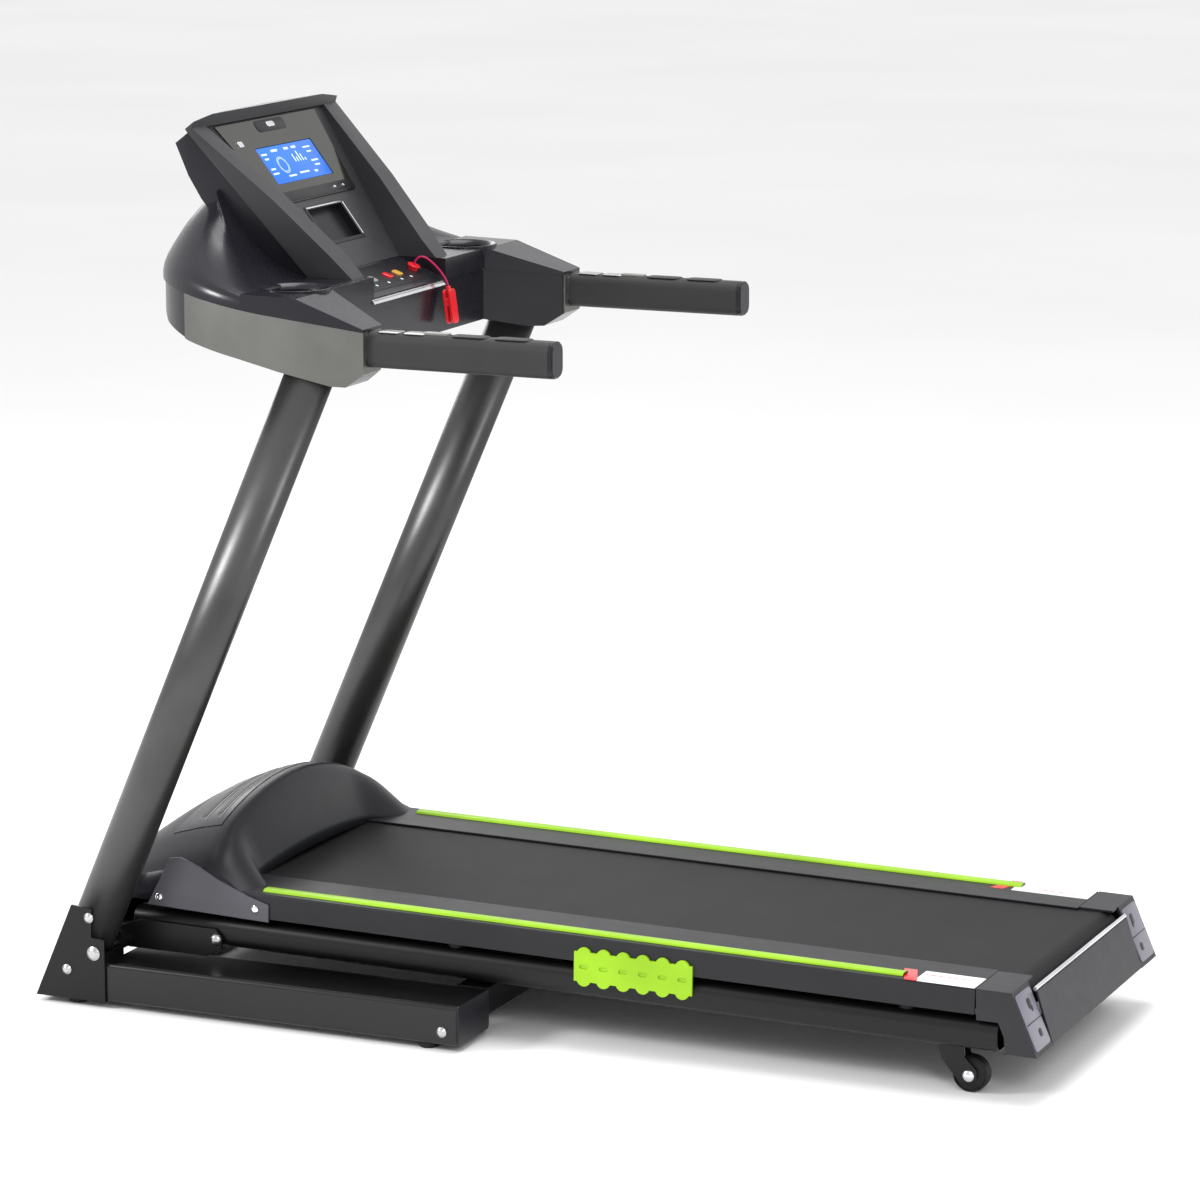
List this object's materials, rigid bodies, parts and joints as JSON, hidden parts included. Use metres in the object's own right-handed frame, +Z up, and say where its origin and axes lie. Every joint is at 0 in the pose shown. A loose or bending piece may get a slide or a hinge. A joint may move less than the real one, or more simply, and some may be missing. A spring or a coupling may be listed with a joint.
{
  "type": "treadmill",
  "caption": "Folding motorised treadmill with leaning uprights, straight handlebars, tilted console with cup holders, hooded drive and rear transport wheels.",
  "frame": {"origin": "centre of the object's box, on the floor under the feet and wheels", "axes": "+X from the motor end to the step-on end, +Y to the walker's right as they face the console, +Z up"},
  "size_m": [1.54, 0.77, 1.3194],
  "materials": {
    "frame_black": "satin powder coat",
    "upright_grey": "satin metallic paint",
    "bolt_steel": "bright zinc",
    "bright_steel": "ground steel",
    "black_rubber": "matte",
    "wheel_black": "satin",
    "grip_foam": "soft matte",
    "plug_plastic": "satin",
    "horn_dark": "satin gloss",
    "cover_silver": "metallic silver grey",
    "head_grey": "satin grey",
    "lens_black": "gloss",
    "display_blue": "backlit",
    "recess_black": "satin",
    "key_grey": "satin",
    "key_red": "gloss",
    "key_gold": "gloss",
    "tether_cord": "braided",
    "board_wood": "coated board",
    "belt_black": "fine textured",
    "motor_black": "satin",
    "controller_alu": "ribbed",
    "hood_dark": "fine grained satin",
    "panel_silver": "metallic silver",
    "rail_dark": "satin",
    "lime": "bright lime",
    "cap_grey": "satin",
    "socket_black": "satin"
  },
  "bodies": {
    "base": {"base_rail_left": "frame_black", "base_rail_right": "frame_black", "base_crossmembers": "frame_black", "base_feet": "black_rubber", "foot_brackets": "frame_black", "frame_bolts": "bolt_steel", "pivot_bolts": "bolt_steel", "upright_left": "upright_grey", "upright_right": "upright_grey", "horn_crossbeam": "frame_black", "handlebar_tubes": "bright_steel", "handlebar_grips": "grip_foam", "handlebar_end_plugs": "plug_plastic", "horn_tray": "horn_dark", "horn_top": "horn_dark", "side_cover_left": "cover_silver", "side_cover_right": "cover_silver", "console_back": "horn_dark", "console_head": "head_grey", "display_lens": "lens_black", "display_module": "display_blue", "device_rest": "recess_black", "keypad_panel": "head_grey"},
    "deck": {"deck_tubes": "frame_black", "deck_cross_tubes": "frame_black", "deck_arms": "frame_black", "deck_board": "board_wood", "deck_cushions": "black_rubber", "running_belt": "belt_black", "roller_shafts": "bright_steel", "motor_body": "motor_black", "drive_belt": "black_rubber", "motor_tray": "frame_black", "controller_box": "controller_alu", "hood_shell": "hood_dark", "hood_side_panels": "panel_silver", "foot_rails": "rail_dark", "green_strips": "lime", "side_pads": "lime", "end_caps": "cap_grey", "rear_cover": "hood_dark", "wheel_forks": "frame_black", "inlet_socket": "socket_black"},
    "front_roller": {"front_roller": "bright_steel"},
    "rear_roller": {"rear_roller": "bright_steel"},
    "motor_rotor": {"motor_rotor": "bright_steel"},
    "wheel_left": {"rear_wheel_left": "wheel_black"},
    "wheel_right": {"rear_wheel_right": "wheel_black"},
    "strut_cylinder": {"strut_cylinder": "frame_black"},
    "strut_rod": {"strut_rod": "bright_steel"},
    "key_start": {"key_start": "key_gold"},
    "key_stop": {"key_stop": "key_red"},
    "key_faster": {"key_faster": "key_grey"},
    "key_slower": {"key_slower": "key_grey"},
    "handle_button_left": {"handle_button_left": "key_grey"},
    "handle_button_right": {"handle_button_right": "key_grey"},
    "safety_key": {"safety_key": "key_red", "safety_tether": "tether_cord", "safety_clip": "key_red"},
    "power_switch": {"power_switch": "key_red"}
  },
  "joints": [
    {"name": "deck_fold", "type": "hinge", "parent": "base", "child": "deck", "pos_m": [-0.67, 0, 0.084], "axis": [0, -1, 0], "range_deg": [0, 60]},
    {"name": "front_roller_spin", "type": "hinge", "parent": "deck", "child": "front_roller", "pos_m": [-0.55408, 0, 0.14899], "axis": [0, 1, 0], "continuous": true},
    {"name": "rear_roller_spin", "type": "hinge", "parent": "deck", "child": "rear_roller", "pos_m": [0.7088, 0, 0.13135], "axis": [0, 1, 0], "continuous": true},
    {"name": "motor_spin", "type": "hinge", "parent": "deck", "child": "motor_rotor", "pos_m": [-0.64883, 0, 0.16771], "axis": [0, 1, 0], "continuous": true},
    {"name": "wheel_left_spin", "type": "hinge", "parent": "deck", "child": "wheel_left", "pos_m": [0.662, -0.243, 0.026], "axis": [0, 1, 0], "continuous": true},
    {"name": "wheel_right_spin", "type": "hinge", "parent": "deck", "child": "wheel_right", "pos_m": [0.662, 0.243, 0.026], "axis": [0, 1, 0], "continuous": true},
    {"name": "strut_pivot", "type": "hinge", "parent": "base", "child": "strut_cylinder", "pos_m": [-0.65, 0, 0.035], "axis": [0, -1, 0], "range_deg": [0, 59]},
    {"name": "strut_extend", "type": "slide", "parent": "strut_cylinder", "child": "strut_rod", "axis": [0.986, 0, 0.1667], "range_m": [0, 0.054]},
    {"name": "key_start_press", "type": "slide", "parent": "base", "child": "key_start", "axis": [-0.342, 0, -0.9397], "range_m": [0, 0.0015], "stiffness_N_per_m": 600, "springref_m": -0.001},
    {"name": "key_stop_press", "type": "slide", "parent": "base", "child": "key_stop", "axis": [-0.342, 0, -0.9397], "range_m": [0, 0.0015], "stiffness_N_per_m": 600, "springref_m": -0.001},
    {"name": "key_faster_press", "type": "slide", "parent": "base", "child": "key_faster", "axis": [-0.342, 0, -0.9397], "range_m": [0, 0.0015], "stiffness_N_per_m": 600, "springref_m": -0.001},
    {"name": "key_slower_press", "type": "slide", "parent": "base", "child": "key_slower", "axis": [-0.342, 0, -0.9397], "range_m": [0, 0.0015], "stiffness_N_per_m": 600, "springref_m": -0.001},
    {"name": "handle_button_left_press", "type": "slide", "parent": "base", "child": "handle_button_left", "axis": [0, 0, -1], "range_m": [0, 0.001], "stiffness_N_per_m": 600, "springref_m": -0.001},
    {"name": "handle_button_right_press", "type": "slide", "parent": "base", "child": "handle_button_right", "axis": [0, 0, -1], "range_m": [0, 0.001], "stiffness_N_per_m": 600, "springref_m": -0.001},
    {"name": "safety_key_pull", "type": "slide", "parent": "base", "child": "safety_key", "axis": [0.342, 0, 0.9397], "range_m": [0, 0.015]},
    {"name": "power_switch_rock", "type": "hinge", "parent": "deck", "child": "power_switch", "pos_m": [-0.71952, 0.17, 0.11869], "axis": [0, 1, 0], "range_deg": [-9, 9]}
  ],
  "couplings": [
    {"joint": "rear_roller_spin", "follows": "front_roller_spin", "ratio": 1},
    {"joint": "motor_spin", "follows": "front_roller_spin", "ratio": 2.8},
    {"joint": "strut_pivot", "follows": "deck_fold", "ratio": 0.977},
    {"joint": "strut_extend", "follows": "deck_fold", "m_per_rad": 0.050458}
  ]
}
